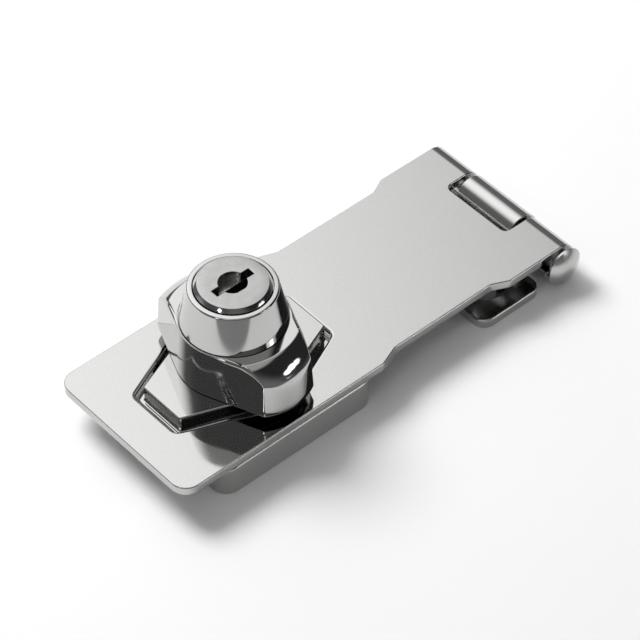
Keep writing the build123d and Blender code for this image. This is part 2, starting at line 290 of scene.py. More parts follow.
def outline(corners, radii, step=5.0):
    """Closed counter-clockwise outline with each corner rounded by its radius."""
    points = []
    for i, here in enumerate(corners):
        before = Vector(here) - Vector(corners[i - 1])
        after = Vector(corners[(i + 1) % len(corners)]) - Vector(here)
        before.normalize()
        after.normalize()
        turn = math.degrees(math.atan2(before.cross(after), before.dot(after)))
        side = math.copysign(1.0, turn)
        reach = radii[i] * math.tan(math.radians(abs(turn)) / 2)
        start = Vector(here) - before * reach
        centre = start + Vector(turned(before, 90.0)) * radii[i] * side
        count = max(2, math.ceil(abs(turn) / step))
        for k in range(count + 1):
            left = Vector(turned(before, 90.0 + turn * k / count))
            point = centre - left * radii[i] * side
            points.append((point.x, point.y))
    return points


def tapered_outline(hub_r, slope, x0, x1, corner_r):
    """Boss and slot plan: a round middle whose tangents run in to square ends at x0 and x1."""
    s = math.radians(slope)
    half0 = (hub_r + x0 * math.sin(s)) / math.cos(s)
    half1 = (hub_r - x1 * math.sin(s)) / math.cos(s)
    apex = hub_r / math.cos(s)
    corners = [(x1, -half1), (x1, half1), (0.0, apex), (x0, half0), (x0, -half0), (0.0, -apex)]
    return outline(corners, [corner_r, corner_r, hub_r] * 2, step=2.5)


def mitres(points):
    """Outward mitre direction at each point of a counter-clockwise outline."""
    result = []
    for i, here in enumerate(points):
        a = Vector(here) - Vector(points[i - 1])
        b = Vector(points[(i + 1) % len(points)]) - Vector(here)
        a.normalize()
        b.normalize()
        n1 = Vector((a.y, -a.x))
        n2 = Vector((b.y, -b.x))
        result.append((n1 + n2) / (1.0 + n1.dot(n2)))
    return result


def join_rings(bm, ring_a, ring_b):
    """Quads between two rings of the same count."""
    n = len(ring_a)
    for i in range(n):
        k = (i + 1) % n
        bm.faces.new((ring_a[i], ring_a[k], ring_b[k], ring_b[i]))


def wall(bm, points, profile, into=-1.0):
    """Rings along an outline, each moved by (inset, z) of the profile.

    into is -1 for an outer wall and +1 for the wall of a hole.
    """
    directions = mitres(points)
    rings = []
    for inset, z in profile:
        rings.append([bm.verts.new((x + into * inset * d.x, y + into * inset * d.y, z))
                      for (x, y), d in zip(points, directions)])
    for a, b in zip(rings, rings[1:]):
        join_rings(bm, a, b)
    return rings[0], rings[-1]


def cap(bm, *rings):
    """Flat face between closed rings, the first round the others."""
    edges = []
    for ring in rings:
        for i, v in enumerate(ring):
            w = ring[(i + 1) % len(ring)]
            edges.append(bm.edges.get((v, w)) or bm.edges.new((v, w)))
    bmesh.ops.triangle_fill(bm, use_beauty=True, edges=edges)


def top_edge(z, radius, count=6):
    """Profile up a wall and over its rounded upper edge.

    It ends in a flat margin, which keeps the shading of the face beyond it level.
    """
    quarter = [math.radians(90.0 * k / count) for k in range(count + 1)]
    rounded = [(radius * (1 - math.cos(a)), z - radius * (1 - math.sin(a))) for a in quarter]
    return rounded + [(radius + FLAT_MARGIN, z)]


def rounded_rim(z0, z1, low_r, top_r, count=6):
    """Profile from the lower face to the upper face, with both edges rounded."""
    low = [(inset, -z) for inset, z in reversed(top_edge(-z0, low_r, count))]
    return low + top_edge(z1, top_r, count)


def lathe(bm, profile, count):
    """Surface of revolution about Z from (radius, z) points that start and end on the axis."""
    rings = []
    for r, z in profile[1:-1]:
        rings.append([bm.verts.new((x, y, z)) for x, y in circle(r, count)])
    for a, b in zip(rings, rings[1:]):
        join_rings(bm, a, b)
    for ring, (_, z) in ((rings[0], profile[0]), (rings[-1], profile[-1])):
        tip = bm.verts.new((0.0, 0.0, z))
        for i in range(count):
            bm.faces.new((ring[i], ring[(i + 1) % count], tip))


def soften(profile, radii, count=4):
    """Open (radius, z) profile with the corners named in radii {index: radius} rounded."""
    result = []
    for i, here in enumerate(profile):
        if i not in radii:
            result.append(here)
            continue
        p = Vector(here)
        a = (Vector(profile[i - 1]) - p).normalized()
        b = (Vector(profile[i + 1]) - p).normalized()
        half = math.acos(max(-1.0, min(1.0, a.dot(b)))) / 2
        reach = radii[i] / math.tan(half)
        centre = p + (a + b).normalized() * (radii[i] / math.sin(half))
        start = p + a * reach - centre
        end = p + b * reach - centre
        swing = math.atan2(start.cross(end), start.dot(end))
        for k in range(count + 1):
            x, y = turned(start, math.degrees(swing) * k / count)
            result.append((centre.x + x, centre.y + y))
    return result


def to_object(name, bm):
    """Mesh object in metres from a bmesh in millimetres."""
    bmesh.ops.remove_doubles(bm, verts=bm.verts[:], dist=1e-5)
    bmesh.ops.recalc_face_normals(bm, faces=bm.faces[:])
    bmesh.ops.scale(bm, vec=(MM, MM, MM), verts=bm.verts[:])
    mesh = bpy.data.meshes.new(name)
    bm.to_mesh(mesh)
    bm.free()
    obj = bpy.data.objects.new(name, mesh)
    bpy.context.scene.collection.objects.link(obj)
    return obj


def prism(points, z0, z1):
    """Plain upright cutter."""
    bm = bmesh.new()
    low, top = wall(bm, points, [(0.0, z0), (0.0, z1)])
    cap(bm, low)
    cap(bm, top)
    return to_object("cutter", bm)


def bar(x0, x1, y0, y1, z0, z1):
    """Box cutter."""
    return prism([(x0, y0), (x1, y0), (x1, y1), (x0, y1)], z0, z1)


def rod(radius, z0, z1, x=0.0, y=0.0):
    """Round cutter."""
    return prism(circle(radius, 96, x, y), z0, z1)


def combine(obj, others, operation="DIFFERENCE"):
    """Cuts or adds the other objects, one after another, and removes them."""
    for other in others:
        modifier = obj.modifiers.new("combine", "BOOLEAN")
        modifier.operation = operation
        modifier.solver = "EXACT"
        modifier.object = other
        bpy.context.view_layer.update()
        evaluated = obj.evaluated_get(bpy.context.evaluated_depsgraph_get())
        mesh = bpy.data.meshes.new_from_object(evaluated)
        obj.modifiers.clear()
        old = obj.data
        obj.data = mesh
        bpy.data.meshes.remove(old)
        bpy.data.objects.remove(other)


def screw_cutters(x, y, z_top):
    """Countersunk hole open at both faces."""
    profile = [(SCREW_HOLE_R, -CUT_OVER), (SCREW_HOLE_R, z_top - SCREW_SINK),
               (SCREW_HEAD_R + SCREW_CUT_OVER, z_top + SCREW_CUT_OVER)]
    bm = bmesh.new()
    rings = []
    for r, z in profile:
        rings.append([bm.verts.new((px, py, z)) for px, py in circle(r, 72, x, y)])
    for a, b in zip(rings, rings[1:]):
        join_rings(bm, a, b)
    cap(bm, rings[0])
    cap(bm, rings[-1])
    return to_object("cutter", bm)


def finish_piece(obj, name, body, node, material):
    """Names, shades and attaches a piece that stands for one node."""
    obj.name = name
    obj.data.name = name
    obj.data.materials.clear()
    obj.data.materials.append(material)
    obj.data.shade_smooth()
    obj.data.set_sharp_from_angle(angle=math.radians(SHARP_ANGLE))
    weighted = obj.modifiers.new("weighted", "WEIGHTED_NORMAL")
    weighted.keep_sharp = True
    weighted.weight = 100
    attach(obj, body)
    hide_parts(node)


# Sheet pieces

def bend(bm, path):
    """Moves a flat blank along a path: x is the run along it and z the height above its surface."""
    for v in bm.verts:
        x, z, tilt = path(v.co.x)
        a = math.radians(tilt)
        h = v.co.z
        v.co = Vector((x - h * math.sin(a), v.co.y, z + h * math.cos(a)))


def slice_runs(bm, runs):
    """Cuts the blank across at each run so that it can bend there."""
    for run in runs:
        geometry = bm.verts[:] + bm.edges[:] + bm.faces[:]
        bmesh.ops.bisect_plane(bm, geom=geometry, plane_co=(run, 0, 0), plane_no=(1, 0, 0), dist=1e-5)


def run_path(x0, z0, pieces):
    """Path of straight and round stretches, each (length, turn in degrees)."""
    def at(run):
        x, z, tilt = x0, z0, 0.0
        left = run
        for length, turn in pieces:
            part = min(left, length) if left > 0 else 0.0
            if turn and part > 0:
                radius = length / math.radians(turn)
                swing = turn * part / length
                a = math.radians(tilt)
                b = math.radians(tilt + swing)
                x += radius * (math.sin(b) - math.sin(a))
                z -= radius * (math.cos(b) - math.cos(a))
                tilt += swing
            else:
                x += part * math.cos(math.radians(tilt))
                z += part * math.sin(math.radians(tilt))
            left -= part
        return x, z, tilt
    return at


def leaf_piece(material):
    """Pressed leaf with a rolled slot rim, stepped sides, window, and two knuckles rolled down."""
    outer_r = BORE_R + LEAF_T
    curl_run = math.radians(LEAF_CURL) * outer_r
    end = PIN_X + curl_run
    corners = [
        (FREE_X, LEAF_HALF), (FREE_X, -LEAF_HALF),
        (SHOULDER_X0, -LEAF_HALF), (WAIST_X0, -WAIST_HALF),
        (WAIST_X1, -WAIST_HALF), (SHOULDER_X1, -LEAF_HALF),
        (end, -LEAF_HALF), (end, -WINDOW_HALF), (WINDOW_X, -WINDOW_HALF),
        (WINDOW_X, WINDOW_HALF), (end, WINDOW_HALF), (end, LEAF_HALF),
        (SHOULDER_X1, LEAF_HALF), (WAIST_X1, WAIST_HALF),
        (WAIST_X0, WAIST_HALF), (SHOULDER_X0, LEAF_HALF),
    ]
    radii = [FREE_CORNER_R] * 2 + [STEP_CORNER_R] * 4 + [KNUCKLE_CORNER_R] * 2
    radii += [WINDOW_CORNER_R] * 2 + [KNUCKLE_CORNER_R] * 2 + [STEP_CORNER_R] * 4
    bm = bmesh.new()
    rim = wall(bm, outline(corners, radii), rounded_rim(-LEAF_T, 0.0, UNDER_EDGE_R, LEAF_EDGE_R))
    slot_points = tapered_outline(SLOT_HUB_R, SLOT_SLOPE, SLOT_FREE_X, SLOT_HINGE_X, SLOT_CORNER_R)
    slot_rim = wall(bm, slot_points, rounded_rim(-LEAF_T, 0.0, SLOT_UNDER_R, SLOT_ROLL_R, 8), into=1.0)
    cap(bm, rim[0], slot_rim[0])
    cap(bm, rim[1], slot_rim[1])
    steps = 64
    slice_runs(bm, [PIN_X + curl_run * k / steps for k in range(steps)])
    bmesh.ops.translate(bm, vec=(-FREE_X, 0.0, 0.0), verts=bm.verts[:])
    bend(bm, run_path(FREE_X, LEAF_TOP, [(PIN_X - FREE_X, 0.0), (curl_run, -LEAF_CURL)]))
    finish_piece(to_object("leaf", bm), "leaf", "leaf", "hasp_leaf", material)


def plate_piece(material):
    """Hinge plate: two ears, a strap that steps up, and a knuckle rolled up round the pin."""
    knuckle_r = BORE_R + PLATE_T
    rise = PIN_Z - knuckle_r
    step_r = rise / (2 * (1 - math.cos(math.radians(STRAP_TURN))))
    step_run = math.radians(STRAP_TURN) * step_r
    step_x = 2 * step_r * math.sin(math.radians(STRAP_TURN))
    before = STRAP_STEP_X - PLATE_X0
    after = PIN_X - STRAP_STEP_X - step_x
    curl_run = math.radians(PLATE_CURL) * knuckle_r
    ears = PLATE_X1 - PLATE_X0
    end = before + 2 * step_run + after + curl_run
    corners = [
        (0.0, -PLATE_HALF), (ears, -PLATE_HALF), (ears, -STRAP_HALF), (end, -STRAP_HALF),
        (end, STRAP_HALF), (ears, STRAP_HALF), (ears, PLATE_HALF), (0.0, PLATE_HALF),
    ]
    bm = bmesh.new()
    radii = [EAR_CORNER_R, EAR_CORNER_R, STRAP_ROOT_R, KNUCKLE_CORNER_R]
    points = outline(corners, radii + radii[::-1])
    low, top = wall(bm, points, rounded_rim(0.0, PLATE_T, UNDER_EDGE_R, PLATE_EDGE_R))
    lows = [low]
    tops = [top]
    hole = [(0.0, 0.0), (0.0, PLATE_T - SCREW_SINK), (SCREW_SINK, PLATE_T)]
    for side in (-1, 1):
        ring = circle(SCREW_HOLE_R, 72, PLATE_HOLE_X - PLATE_X0, side * PLATE_HOLE_Y)
        a, b = wall(bm, ring, hole, into=1.0)
        lows.append(a)
        tops.append(b)
    cap(bm, *lows)
    cap(bm, *tops)
    steps = 60
    runs = [before + step_run * k / 3 for k in range(7)]
    runs += [end - curl_run + curl_run * k / steps for k in range(steps)]
    slice_runs(bm, runs)
    stretches = [(before, 0.0), (step_run, STRAP_TURN), (step_run, -STRAP_TURN), (after, 0.0),
                 (curl_run, PLATE_CURL)]
    bend(bm, run_path(PLATE_X0, 0.0, stretches))
    bmesh.ops.translate(bm, vec=(0.0, PLATE_SHIFT_Y, 0.0), verts=bm.verts[:])
    finish_piece(to_object("plate", bm), "plate", "plate", "hinge_plate", material)


# Cast and turned pieces

def square(half, corner_r):
    """Square outline with rounded corners."""
    return outline([(half, -half), (half, half), (-half, half), (-half, -half)], [corner_r] * 4)


def housing_piece(material):
    """Housing with its boss, hollow underneath."""
    boss = tapered_outline(BOSS_HUB_R, BOSS_SLOPE, -BOSS_HALF_LEN, BOSS_HALF_LEN, BOSS_CORNER_R)
    bm = bmesh.new()
    box_rim = rounded_rim(0.0, HOUSING_H, HOUSING_FOOT_R, HOUSING_EDGE_R)
    low, top = wall(bm, square(HOUSING_HALF, HOUSING_CORNER_R), box_rim)
    foot = [(-BOSS_FILLET - FLAT_MARGIN, HOUSING_H), (-BOSS_FILLET, HOUSING_H),
            (-BOSS_FILLET_MID, HOUSING_H + BOSS_FILLET_MID), (0.0, HOUSING_H + BOSS_FILLET)]
    boss_low, boss_top = wall(bm, boss, foot + top_edge(BOSS_TOP, BOSS_EDGE_R))
    bore_edge = [(0.0, 0.0), (0.0, BOSS_TOP - BORE_CHAMFER), (BORE_CHAMFER, BOSS_TOP)]
    bore_low, bore_top = wall(bm, circle(SPINDLE_R + RUNNING_PLAY, 160), bore_edge, into=1.0)
    cap(bm, low, bore_low)
    cap(bm, top, boss_low)
    cap(bm, boss_top, bore_top)
    body = to_object("housing", bm)
    pocket = prism(square(HOUSING_HALF - WALL_T, POCKET_CORNER_R), -CUT_OVER, POCKET_Z)
    places = [(sx * SCREW_AT, sy * SCREW_AT) for sx in (-1, 1) for sy in (-1, 1)]
    keep = [rod(SCREW_COLUMN_R, -2.0 * CUT_OVER, POCKET_CUT_Z, x, y) for x, y in places]
    combine(pocket, keep + [rod(HUB_RING_R, HUB_RING_Z, POCKET_CUT_Z)])
    holes = [screw_cutters(x, y, HOUSING_H) for x, y in places]
    notch_z = (BOLT_Z0 - NOTCH_PLAY, BOLT_Z0 + BOLT_T + NOTCH_PLAY)
    notches = [bar(-NOTCH_R, 0.0, -NOTCH_HALF, NOTCH_HALF, *notch_z),
               bar(-NOTCH_HALF, NOTCH_HALF, -NOTCH_R, 0.0, *notch_z)]
    stop_hole = rod(STOP_PIN_R, STOP_PIN_Z, BOSS_TOP + CUT_OVER, 0.0, STOP_R)
    combine(body, [pocket, *holes, *notches, stop_hole])
    finish_piece(body, "housing", "staple", "base_housing", material)


def pin_piece(material):
    """Headed hinge pin, lying along Y."""
    crown = HEAD_Y - HEAD_RIM - HEAD_RISE
    profile = [(0.0, PIN_FAR_Y), (PIN_R - PIN_CHAMFER, PIN_FAR_Y), (PIN_R, PIN_FAR_Y - PIN_CHAMFER),
               (PIN_R, COLLAR_Y), (COLLAR_R, COLLAR_Y), (COLLAR_R, HEAD_Y), (HEAD_R, HEAD_Y),
               (HEAD_R, HEAD_Y - HEAD_RIM)]
    profile = soften(profile, {1: 0.1, 2: 0.15, 6: 0.12})
    steps = 20
    for k in range(1, steps):
        r = HEAD_R * (1 - k / steps)
        profile.append((r, crown + HEAD_RISE * (r / HEAD_R) ** HEAD_POWER))
    profile.append((0.0, crown))
    bm = bmesh.new()
    lathe(bm, profile, 128)
    for v in bm.verts:
        v.co = Vector((PIN_X + v.co.x, v.co.z, PIN_Z + v.co.y))
    finish_piece(to_object("pin", bm), "pin", "leaf", "hinge_pin", material)


def keyhole_outline():
    """Round keyhole with a notch on each side."""
    half = KEYWAY_W / 2
    meet = math.degrees(math.asin(half / KEYHOLE_R))
    reach = KEYWAY_LEN / 2
    upper = [(reach, -half), (reach, half)] + arc(KEYHOLE_R, meet, 180.0 - meet)
    lower = [(-reach, half), (-reach, -half)] + arc(KEYHOLE_R, 180.0 + meet, 360.0 - meet)
    return upper + lower


def plug_piece(material):
    """Plug: chamfered face with the keyhole, and a slotted body."""
    bm = bmesh.new()
    sides = soften([(0.0, PLUG_Z), (PLUG_R, PLUG_Z), (PLUG_R, HEAD_Z), (PLUG_HEAD_R, HEAD_Z),
                    (PLUG_HEAD_R, FACE_TOP - PLUG_CHAMFER), (PLUG_HEAD_R - PLUG_CHAMFER, FACE_TOP),
                    (FACE_RING_R, FACE_TOP)], {1: 0.2, 3: 0.1, 4: 0.1, 5: 0.1})
    rings = [[bm.verts.new((x, y, z)) for x, y in circle(r, 160)] for r, z in sides[1:]]
    for a, b in zip(rings, rings[1:]):
        join_rings(bm, a, b)
    cap(bm, rings[0])
    edge = [(0.0, FACE_TOP - KEYHOLE_DEPTH), (0.0, FACE_TOP - KEYHOLE_EDGE),
            (KEYHOLE_EDGE_MID, FACE_TOP - KEYHOLE_EDGE_MID), (KEYHOLE_EDGE, FACE_TOP),
            (KEYHOLE_EDGE + FLAT_MARGIN, FACE_TOP)]
    floor, rim = wall(bm, keyhole_outline(), edge, into=1.0)
    cap(bm, rings[-1], rim)
    cap(bm, floor)
    body = to_object("plug", bm)
    a = math.radians(CAM_ANGLE)
    cam_pin = rod(CAM_PIN_R, CAM_PIN_Z, CAM_PIN_TOP, CAM_ARM * math.cos(a), CAM_ARM * math.sin(a))
    combine(body, [cam_pin], "UNION")
    long_half = KEYWAY_LEN / 2 - KEYWAY_INSET
    wide_half = KEYWAY_W / 2 - KEYWAY_INSET
    half = WAFER_W / 2 + WAFER_PLAY
    cutters = [bar(-long_half, long_half, -wide_half, wide_half, KEYWAY_FLOOR, KEYWAY_TOP)]
    slots = [(-SLOT_END_X, WAFER_FIRST_Z + WAFER_PITCH * k) for k in range(WAFER_COUNT)]
    for back, z in slots + [(RETAINER_BACK_X, RETAINER_Z)]:
        cutters.append(bar(back, SLOT_END_X, -half, half, z - WAFER_PLAY, z + WAFER_T + WAFER_PLAY))
    cutters.append(bar(-SLOT_END_X, COMB_FRONT_X, -COMB_HALF, COMB_HALF, COMB_Z0, COMB_Z1))
    combine(body, cutters)
    finish_piece(body, "plug", "plug", "lock_plug", material)


def crown_height(rho):
    """Height of the knob's top surface at a distance from the axis: the ledge, then the dome."""
    if rho <= LEDGE_R:
        return LEDGE_Z
    return DOME_CENTRE_Z + math.sqrt(DOME_R ** 2 - (rho - DOME_CENTRE_R) ** 2)


def wings_plan():
    """Points of the wings' plan, counter-clockwise.

    Each is (point, outward angle in radians, distance to the nearest corner).
    """
    s = math.radians(KNOB_SLOPE)
    corner_x = (KNOB_HUB_R - WING_CORNER_Y * math.sin(s)) / math.cos(s)
    rise = WING_TIP_Y - WING_CORNER_Y
    tip_r = (corner_x ** 2 + rise ** 2) / (2 * rise)
    tip_y = WING_TIP_Y - tip_r
    flank = Vector((math.cos(s), math.sin(s))) * (KNOB_HUB_R - WING_CORNER_R)
    along = Vector((-math.sin(s), math.cos(s)))
    reach = (flank - Vector((0.0, tip_y))).dot(along)
    apart = (flank - Vector((0.0, tip_y))).length_squared - (tip_r - WING_CORNER_R) ** 2
    corner = flank + along * (math.sqrt(reach ** 2 - apart) - reach)
    meet = math.degrees(math.atan2(corner.y - tip_y, corner.x))
    half = [
        (KNOB_HUB_R, 0.0, 0.0, -KNOB_SLOPE, KNOB_SLOPE),
        (WING_CORNER_R, corner.x, corner.y, KNOB_SLOPE, meet),
        (tip_r, 0.0, tip_y, meet, 180.0 - meet),
        (WING_CORNER_R, -corner.x, corner.y, 180.0 - meet, 180.0 - KNOB_SLOPE),
    ]
    stations = []
    for radius, cx, cy, start, end in half:
        count = max(10, math.ceil(radius * math.radians(end - start) / PLAN_STEP))
        for k in range(count + 1):
            angle = start + (end - start) * k / count
            a = math.radians(angle)
            stations.append((cx + radius * math.cos(a), cy + radius * math.sin(a), angle))
    stations += [(-x, -y, angle + 180.0) for x, y, angle in stations]
    result = []
    for i, (x, y, angle) in enumerate(stations):
        nx, ny, _ = stations[(i + 1) % len(stations)]
        gap = math.dist((x, y), (nx, ny))
        if gap < 1e-4:
            continue
        count = max(1, math.ceil(gap / PLAN_STEP))
        for k in range(count):
            t = k / count
            point = Vector((x + (nx - x) * t, y + (ny - y) * t))
            away = math.dist((abs(point.x), abs(point.y)), corner) - WING_CORNER_R
            result.append((point, math.radians(angle), away))
    return result


def ease(t):
    """Smooth step from 0 to 1."""
    t = max(0.0, min(1.0, t))
    return t * t * (3.0 - 2.0 * t)


def wing_column(point, angle, away):
    """Points up the flank, over its rounded edge, and in to the groove at the cone's foot."""
    out = Vector((math.cos(angle), math.sin(angle)))
    draft = math.radians(KNOB_DRAFT)
    inner = CONE_BASE_R + FOOT_GROOVE_W
    # The edge lies where the drafted flank meets the crown, found by repeated guesses
    z = DOME_CENTRE_Z
    for _ in range(30):
        edge = point - out * (z - WING_Z) * math.tan(draft)
        z = crown_height(edge.length)
    radial = edge.normalized()
    tilt = max(0.0, (edge.length - DOME_CENTRE_R) / DOME_R) if edge.length > LEDGE_R else 0.0
    n1 = Vector((out.x * math.cos(draft), out.y * math.cos(draft), math.sin(draft)))
    n2 = Vector((radial.x * tilt, radial.y * tilt, math.sqrt(1.0 - tilt ** 2)))
    turn = n1.angle(n2)
    blunt = ease((math.radians(TIP_TURN) - turn) / math.radians(TIP_BLEND))
    wide = RIDGE_REACH + (TIP_REACH - RIDGE_REACH) * blunt
    reach = CORNER_REACH + (wide - CORNER_REACH) * ease(away / CORNER_SPREAD)
    reach = min(reach, EDGE_SHARE * (edge.length - inner))
    r = reach / math.tan(turn / 2)
    centre = Vector((edge.x, edge.y, z)) - (n1 + n2) * r / (1.0 + n1.dot(n2))
    low = point - out * WING_FOOT_R * math.tan(draft)
    column = [(point.x - WING_FOOT_R * out.x, point.y - WING_FOOT_R * out.y, WING_Z),
              (point.x - WING_FOOT_MID * out.x, point.y - WING_FOOT_MID * out.y, WING_Z + WING_FOOT_MID)]
    start = Vector((low.x, low.y, WING_Z + WING_FOOT_R))
    end = centre + n1 * r
    column += [tuple(start.lerp(end, k / FLANK_ROWS)) for k in range(FLANK_ROWS)]
    column += [tuple(centre + n1.slerp(n2, k / EDGE_ROWS) * r) for k in range(EDGE_ROWS + 1)]
    ring = Vector(column[-1][:2])
    inward = point.normalized()
    lean = math.degrees(math.atan2(inward.cross(ring), inward.dot(ring)))
    far = ring.length
    ledge = min(LEDGE_R, far - LEDGE_MARGIN)
    rhos = [far + (ledge - far) * k / CROWN_ROWS for k in range(1, CROWN_ROWS + 1)]
    rhos += [ledge + (inner - ledge) * k / LEDGE_ROWS for k in range(1, LEDGE_ROWS + 1)]
    for k, rho in enumerate(rhos, 1):
        x, y = turned(inward * rho, lean * (1.0 - k / len(rhos)))
        column.append((x, y, crown_height(rho)))
    groove = inner - FOOT_GROOVE_EDGE
    column.append((inward.x * inner, inward.y * inner, LEDGE_Z - FOOT_GROOVE_EDGE))
    column.append((inward.x * groove, inward.y * groove, LEDGE_Z - FOOT_GROOVE_DEPTH))
    return column


def knob_piece(material):
    """Knob: two wings under a dome, the cone with its rim, and the bore for the plug."""
    seat_z = HEAD_Z - HEAD_FLOAT
    profile = [(CONE_BASE_R + CONE_FOOT_OUT, LEDGE_Z - FOOT_GROOVE_DEPTH), (CONE_TOP_R, RIM_TOP),
               (HEAD_BORE_R + RIM_BORE_CHAMFER, RIM_TOP), (HEAD_BORE_R, RIM_TOP - RIM_BORE_CHAMFER),
               (HEAD_BORE_R, seat_z), (BORE_PLUG_R, seat_z), (BORE_PLUG_R, SPINDLE_TOP),
               (SEAT_R, SPINDLE_TOP), (SEAT_R, WING_Z)]
    bm = bmesh.new()
    columns = [[bm.verts.new(p) for p in wing_column(*station)] for station in wings_plan()]
    wings = list(zip(*columns))
    cone = [[bm.verts.new((x, y, z)) for x, y in circle(r, 240)]
            for r, z in soften(profile, {1: RIM_EDGE_R}, 8)]
    for rings in (wings, cone):
        for a, b in zip(rings, rings[1:]):
            join_rings(bm, a, b)
    cap(bm, wings[-1], cone[0])
    cap(bm, wings[0], cone[-1])
    body = to_object("knob", bm)
    half = WAFER_W / 2 + CROSS_PLAY
    reach = math.degrees(math.asin(half / GROOVE_R))
    cross = []
    for quarter in range(4):
        base = 90.0 * quarter
        cross += arc(GROOVE_R, base - reach, base + reach)
        cross.append(turned((half, half), base))
    first = -STOP_PAST
    last = 90.0 + STOP_PAST
    end_step = 12.0
    track = arc(STOP_R + STOP_HALF, first, last)
    track += arc(STOP_HALF, last, last + 180.0, *turned((STOP_R, 0.0), last), end_step)[1:]
    track += arc(STOP_R - STOP_HALF, last, first)[1:]
    track += arc(STOP_HALF, first + 180.0, first + 360.0, *turned((STOP_R, 0.0), first), end_step)[1:-1]
    combine(body, [prism(cross, CROSS_Z0, CROSS_Z1),
                   prism(track, WING_Z - CUT_OVER, WING_Z + STOP_DEPTH)])
    finish_piece(body, "knob", "knob", "knob_body", material)


# Materials

def node(tree, kind, inputs=None, **settings):
    """New node with its settings, and its sockets set or linked."""
    made = tree.nodes.new(kind)
    for name, value in settings.items():
        setattr(made, name, value)
    for name, value in (inputs or {}).items():
        if isinstance(value, bpy.types.NodeSocket):
            tree.links.new(value, made.inputs[name])
        else:
            made.inputs[name].default_value = value
    return made


def metal(name, colour, rough, rough_spread=0.35, cloud=7.0, dent_um=4.0, polished_from=None):
    """Metal whose roughness drifts in clouds, with a faint wave and grain in its surface.

    cloud is the size of the clouds in mm and dent_um the depth of the wave. Past the radius
    polished_from, in mm from the knob's axis, the surface is polished.
    """
    material = bpy.data.materials.new(name)
    material.use_nodes = True
    tree = material.node_tree
    shader = tree.nodes["Principled BSDF"]
    place = node(tree, "ShaderNodeTexCoord").outputs["Object"]
    drift = node(tree, "ShaderNodeTexNoise", {"Vector": place, "Scale": 1000.0 / cloud, "Detail": 3.0})
    fine = node(tree, "ShaderNodeTexNoise", {"Vector": place, "Scale": 1000.0 / GRAIN_MM, "Detail": 2.0})
    level = node(tree, "ShaderNodeMapRange", {
        "Value": drift.outputs[0], "From Min": NOISE_LOW, "From Max": NOISE_HIGH,
        "To Min": rough * (1.0 - rough_spread), "To Max": rough * (1.0 + rough_spread)})
    if polished_from:
        flat = node(tree, "ShaderNodeVectorMath", {0: place, 1: (1000.0, 1000.0, 0.0)},
                    operation="MULTIPLY")
        reach = node(tree, "ShaderNodeVectorMath", {0: flat.outputs[0]}, operation="LENGTH")
        share = node(tree, "ShaderNodeMapRange", {
            "Value": reach.outputs["Value"], "From Min": polished_from - POLISH_BLEND,
            "From Max": polished_from, "To Min": 1.0, "To Max": POLISH_SHARE})
        level = node(tree, "ShaderNodeMath", {0: level.outputs[0], 1: share.outputs[0]},
                     operation="MULTIPLY")
    shade = node(tree, "ShaderNodeMapRange", {
        "Value": fine.outputs[0], "From Min": NOISE_LOW, "From Max": NOISE_HIGH,
        "To Min": GRAIN_DARK, "To Max": 1.0})
    tint = node(tree, "ShaderNodeVectorMath", {0: colour, 3: shade.outputs[0]}, operation="SCALE")
    wave = node(tree, "ShaderNodeBump", {
        "Strength": 1.0, "Distance": dent_um * 1e-6, "Height": drift.outputs[0]})
    skin = node(tree, "ShaderNodeBump", {
        "Strength": 1.0, "Distance": GRAIN_UM * 1e-6, "Height": fine.outputs[0],
        "Normal": wave.outputs[0]})
    tree.links.new(tint.outputs[0], shader.inputs["Base Color"])
    tree.links.new(level.outputs[0], shader.inputs["Roughness"])
    tree.links.new(skin.outputs[0], shader.inputs["Normal"])
    shader.inputs["Metallic"].default_value = 1.0
    return material


def floor_piece():
    """Pale floor, whiter where it is seen straight or mirrored, and painted grey past its near edge, a
    painted shade that the metal mirrors.
    """
    material = bpy.data.materials.new("floor")
    material.use_nodes = True
    tree = material.node_tree
    shader = tree.nodes["Principled BSDF"]
    path = node(tree, "ShaderNodeLightPath")
    seen = path.outputs["Is Camera Ray"]
    for kind in ("Is Glossy Ray", "Is Transmission Ray"):
        brightest = node(tree, "ShaderNodeMath", {0: seen, 1: path.outputs[kind]}, operation="MAXIMUM")
        seen = brightest.outputs[0]
    place = node(tree, "ShaderNodeTexCoord").outputs["Object"]
    cloud = node(tree, "ShaderNodeTexNoise", {"Vector": place, "Scale": FLOOR_GRAIN_SCALE})
    grain = node(tree, "ShaderNodeMapRange", {
        "Value": cloud.outputs[0], "To Min": -FLOOR_GRAIN, "To Max": FLOOR_GRAIN})
    level = node(tree, "ShaderNodeMapRange", {"Value": seen, "To Min": FLOOR_LIT, "To Max": FLOOR_SEEN})
    level = node(tree, "ShaderNodeMath", {0: level.outputs[0], 1: grain.outputs[0]}, operation="ADD")
    near = node(tree, "ShaderNodeVectorMath", {0: place, 1: heading(NEAR_SIDE, 0.0)},
                operation="DOT_PRODUCT")
    # Painted shade: the floor turns grey past its near edge, for the metal to mirror
    painted_shade = node(tree, "ShaderNodeMapRange", {
        "Value": near.outputs["Value"], "From Min": NEAR_EDGE, "From Max": NEAR_EDGE + NEAR_BLEND,
        "To Min": 1.0, "To Max": NEAR_PAINTED_SHADE}, interpolation_type="SMOOTHSTEP")
    level = node(tree, "ShaderNodeMath", {0: level.outputs[0], 1: painted_shade.outputs[0]},
                 operation="MULTIPLY")
    tree.links.new(level.outputs[0], shader.inputs["Base Color"])
    shader.inputs["Roughness"].default_value = FLOOR_ROUGH
    shader.inputs["Specular IOR Level"].default_value = 0.0
    bm = bmesh.new()
    bmesh.ops.create_grid(bm, x_segments=1, y_segments=1, size=FLOOR_SIZE)
    floor = to_object("floor", bm)
    floor.data.materials.append(material)


# Light and camera

def heading(azimuth, elevation):
    """Direction at an angle from +X in plan and a height above the horizon."""
    a = math.radians(azimuth)
    e = math.radians(elevation)
    return Vector((math.cos(e) * math.cos(a), math.cos(e) * math.sin(a), math.sin(e)))


